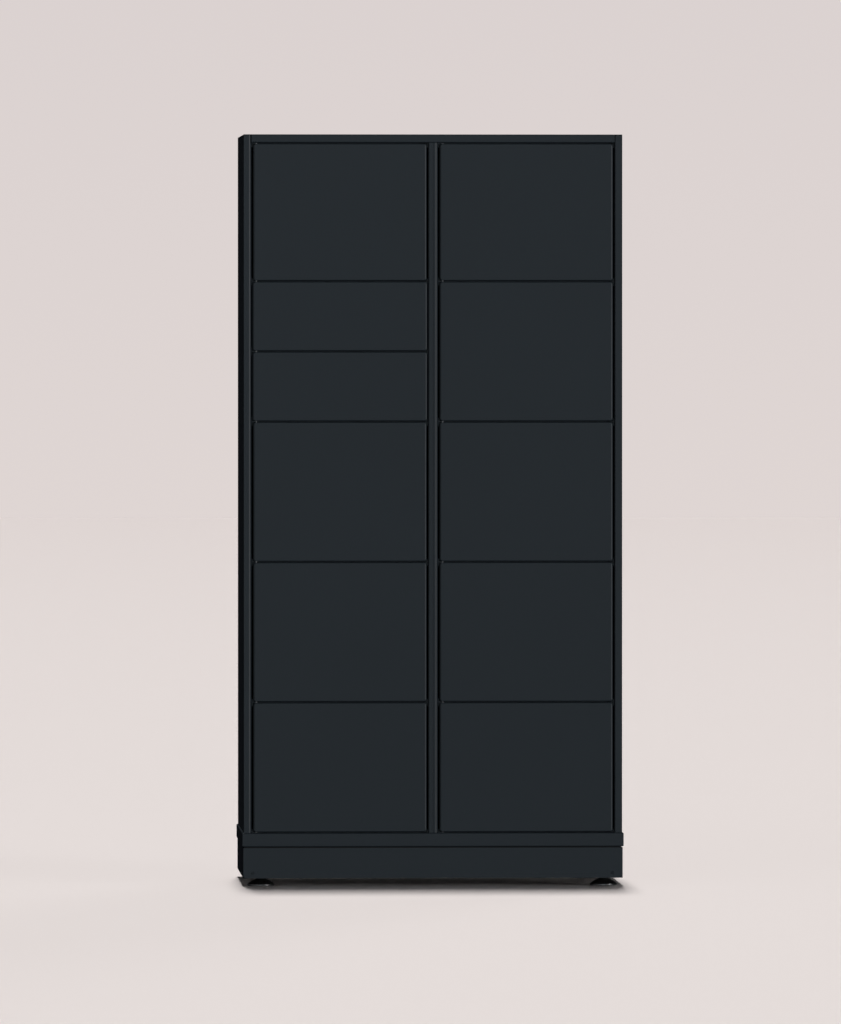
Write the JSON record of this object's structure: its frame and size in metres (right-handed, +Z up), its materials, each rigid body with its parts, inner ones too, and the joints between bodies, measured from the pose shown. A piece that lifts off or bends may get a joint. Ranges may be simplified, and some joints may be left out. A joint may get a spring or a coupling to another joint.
{
  "type": "parcel locker",
  "caption": "Free-standing two-column parcel locker in dark sheet steel: flush hinged doors with sliding lock bolts, shelves, a plinth and levelling feet.",
  "frame": {"origin": "middle of the overall footprint, on the floor that the feet stand on", "axes": "+Z up; the doors face -Y; +X is to the right seen from the front"},
  "size_m": [1.008, 0.6, 1.986],
  "materials": {
    "door_paint": "fine-texture powder coat, blue-black grey, satin",
    "cabinet_paint": "fine-texture powder coat, blue-black grey, satin",
    "frame_paint": "black primer, matt",
    "zinc_steel": "bright zinc plate",
    "foot_metal": "nickel-plated pressed steel with a rubber sole",
    "lock_plastic": "moulded, matt black",
    "black_rubber": "matt black rubber"
  },
  "bodies": {
    "cabinet": {"lock_bodies_left": "lock_plastic", "lock_bodies_right": "lock_plastic", "hinge_brackets": "cabinet_paint", "hinge_pins": "zinc_steel", "side_panel_left": "cabinet_paint", "side_panel_right": "cabinet_paint", "top_panel": "cabinet_paint", "top_rail": "cabinet_paint", "floor_panel": "cabinet_paint", "ceiling_panels": "cabinet_paint", "back_panel_left": "cabinet_paint", "back_panel_right": "cabinet_paint", "divider_left": "cabinet_paint", "divider_right": "cabinet_paint", "liner_left": "cabinet_paint", "liner_right": "cabinet_paint", "shelves_left": "cabinet_paint", "shelves_right": "cabinet_paint", "base_rail_front": "cabinet_paint", "base_rail_sides": "cabinet_paint", "base_frame": "frame_paint", "foot_plates": "frame_paint", "foot_jam_nuts": "zinc_steel", "plinth_front": "cabinet_paint", "plinth_sides": "cabinet_paint", "plinth_back": "cabinet_paint", "plinth_screws": "cabinet_paint", "lock_controller": "lock_plastic", "cable_grommet": "black_rubber"},
    "door_left_1": {"door_left_1": "door_paint"},
    "door_left_2": {"door_left_2": "door_paint"},
    "door_left_3": {"door_left_3": "door_paint"},
    "door_left_4": {"door_left_4": "door_paint"},
    "door_left_5": {"door_left_5": "door_paint"},
    "door_left_6": {"door_left_6": "door_paint"},
    "door_right_1": {"door_right_1": "door_paint"},
    "door_right_2": {"door_right_2": "door_paint"},
    "door_right_3": {"door_right_3": "door_paint"},
    "door_right_4": {"door_right_4": "door_paint"},
    "door_right_5": {"door_right_5": "door_paint"},
    "lock_bolt_left_1": {"lock_bolt_left_1": "zinc_steel"},
    "lock_bolt_left_2": {"lock_bolt_left_2": "zinc_steel"},
    "lock_bolt_left_3": {"lock_bolt_left_3": "zinc_steel"},
    "lock_bolt_left_4": {"lock_bolt_left_4": "zinc_steel"},
    "lock_bolt_left_5": {"lock_bolt_left_5": "zinc_steel"},
    "lock_bolt_left_6": {"lock_bolt_left_6": "zinc_steel"},
    "lock_bolt_right_1": {"lock_bolt_right_1": "zinc_steel"},
    "lock_bolt_right_2": {"lock_bolt_right_2": "zinc_steel"},
    "lock_bolt_right_3": {"lock_bolt_right_3": "zinc_steel"},
    "lock_bolt_right_4": {"lock_bolt_right_4": "zinc_steel"},
    "lock_bolt_right_5": {"lock_bolt_right_5": "zinc_steel"},
    "foot_stud_front_left": {"foot_stud_front_left": "zinc_steel"},
    "foot_pad_front_left": {"foot_pad_front_left": "foot_metal"},
    "foot_stud_front_right": {"foot_stud_front_right": "zinc_steel"},
    "foot_pad_front_right": {"foot_pad_front_right": "foot_metal"},
    "foot_stud_back_left": {"foot_stud_back_left": "zinc_steel"},
    "foot_pad_back_left": {"foot_pad_back_left": "foot_metal"},
    "foot_stud_back_right": {"foot_stud_back_right": "zinc_steel"},
    "foot_pad_back_right": {"foot_pad_back_right": "foot_metal"}
  },
  "joints": [
    {"name": "door_left_1_hinge", "type": "hinge", "parent": "cabinet", "child": "door_left_1", "pos_m": [-0.46775, -0.2905, 1.78075], "axis": [0, 0, -1], "range_deg": [0, 105]},
    {"name": "door_left_2_hinge", "type": "hinge", "parent": "cabinet", "child": "door_left_2", "pos_m": [-0.46775, -0.2905, 1.50588], "axis": [0, 0, -1], "range_deg": [0, 105]},
    {"name": "door_left_3_hinge", "type": "hinge", "parent": "cabinet", "child": "door_left_3", "pos_m": [-0.46775, -0.2905, 1.32062], "axis": [0, 0, -1], "range_deg": [0, 105]},
    {"name": "door_left_4_hinge", "type": "hinge", "parent": "cabinet", "child": "door_left_4", "pos_m": [-0.46775, -0.2905, 1.04275], "axis": [0, 0, -1], "range_deg": [0, 105]},
    {"name": "door_left_5_hinge", "type": "hinge", "parent": "cabinet", "child": "door_left_5", "pos_m": [-0.46775, -0.2905, 0.67225], "axis": [0, 0, -1], "range_deg": [0, 105]},
    {"name": "door_left_6_hinge", "type": "hinge", "parent": "cabinet", "child": "door_left_6", "pos_m": [-0.46775, -0.2905, 0.31475], "axis": [0, 0, -1], "range_deg": [0, 105]},
    {"name": "door_right_1_hinge", "type": "hinge", "parent": "cabinet", "child": "door_right_1", "pos_m": [0.02475, -0.2905, 1.78075], "axis": [0, 0, -1], "range_deg": [0, 105]},
    {"name": "door_right_2_hinge", "type": "hinge", "parent": "cabinet", "child": "door_right_2", "pos_m": [0.02475, -0.2905, 1.41325], "axis": [0, 0, -1], "range_deg": [0, 105]},
    {"name": "door_right_3_hinge", "type": "hinge", "parent": "cabinet", "child": "door_right_3", "pos_m": [0.02475, -0.2905, 1.04275], "axis": [0, 0, -1], "range_deg": [0, 105]},
    {"name": "door_right_4_hinge", "type": "hinge", "parent": "cabinet", "child": "door_right_4", "pos_m": [0.02475, -0.2905, 0.67225], "axis": [0, 0, -1], "range_deg": [0, 105]},
    {"name": "door_right_5_hinge", "type": "hinge", "parent": "cabinet", "child": "door_right_5", "pos_m": [0.02475, -0.2905, 0.31475], "axis": [0, 0, -1], "range_deg": [0, 105]},
    {"name": "lock_bolt_left_1_slide", "type": "slide", "parent": "cabinet", "child": "lock_bolt_left_1", "axis": [-1, 0, 0], "range_m": [0, 0.01]},
    {"name": "lock_bolt_left_2_slide", "type": "slide", "parent": "cabinet", "child": "lock_bolt_left_2", "axis": [-1, 0, 0], "range_m": [0, 0.01]},
    {"name": "lock_bolt_left_3_slide", "type": "slide", "parent": "cabinet", "child": "lock_bolt_left_3", "axis": [-1, 0, 0], "range_m": [0, 0.01]},
    {"name": "lock_bolt_left_4_slide", "type": "slide", "parent": "cabinet", "child": "lock_bolt_left_4", "axis": [-1, 0, 0], "range_m": [0, 0.01]},
    {"name": "lock_bolt_left_5_slide", "type": "slide", "parent": "cabinet", "child": "lock_bolt_left_5", "axis": [-1, 0, 0], "range_m": [0, 0.01]},
    {"name": "lock_bolt_left_6_slide", "type": "slide", "parent": "cabinet", "child": "lock_bolt_left_6", "axis": [-1, 0, 0], "range_m": [0, 0.01]},
    {"name": "lock_bolt_right_1_slide", "type": "slide", "parent": "cabinet", "child": "lock_bolt_right_1", "axis": [-1, 0, 0], "range_m": [0, 0.01]},
    {"name": "lock_bolt_right_2_slide", "type": "slide", "parent": "cabinet", "child": "lock_bolt_right_2", "axis": [-1, 0, 0], "range_m": [0, 0.01]},
    {"name": "lock_bolt_right_3_slide", "type": "slide", "parent": "cabinet", "child": "lock_bolt_right_3", "axis": [-1, 0, 0], "range_m": [0, 0.01]},
    {"name": "lock_bolt_right_4_slide", "type": "slide", "parent": "cabinet", "child": "lock_bolt_right_4", "axis": [-1, 0, 0], "range_m": [0, 0.01]},
    {"name": "lock_bolt_right_5_slide", "type": "slide", "parent": "cabinet", "child": "lock_bolt_right_5", "axis": [-1, 0, 0], "range_m": [0, 0.01]},
    {"name": "foot_height_front_left", "type": "slide", "parent": "cabinet", "child": "foot_stud_front_left", "axis": [0, 0, -1], "range_m": [-0.008, 0.02]},
    {"name": "foot_pad_turn_front_left", "type": "hinge", "parent": "foot_stud_front_left", "child": "foot_pad_front_left", "pos_m": [-0.454, -0.236, 0.012], "axis": [0, 0, 1], "continuous": true},
    {"name": "foot_height_front_right", "type": "slide", "parent": "cabinet", "child": "foot_stud_front_right", "axis": [0, 0, -1], "range_m": [-0.008, 0.02]},
    {"name": "foot_pad_turn_front_right", "type": "hinge", "parent": "foot_stud_front_right", "child": "foot_pad_front_right", "pos_m": [0.454, -0.236, 0.012], "axis": [0, 0, 1], "continuous": true},
    {"name": "foot_height_back_left", "type": "slide", "parent": "cabinet", "child": "foot_stud_back_left", "axis": [0, 0, -1], "range_m": [-0.008, 0.02]},
    {"name": "foot_pad_turn_back_left", "type": "hinge", "parent": "foot_stud_back_left", "child": "foot_pad_back_left", "pos_m": [-0.454, 0.24, 0.012], "axis": [0, 0, 1], "continuous": true},
    {"name": "foot_height_back_right", "type": "slide", "parent": "cabinet", "child": "foot_stud_back_right", "axis": [0, 0, -1], "range_m": [-0.008, 0.02]},
    {"name": "foot_pad_turn_back_right", "type": "hinge", "parent": "foot_stud_back_right", "child": "foot_pad_back_right", "pos_m": [0.454, 0.24, 0.012], "axis": [0, 0, 1], "continuous": true}
  ]
}
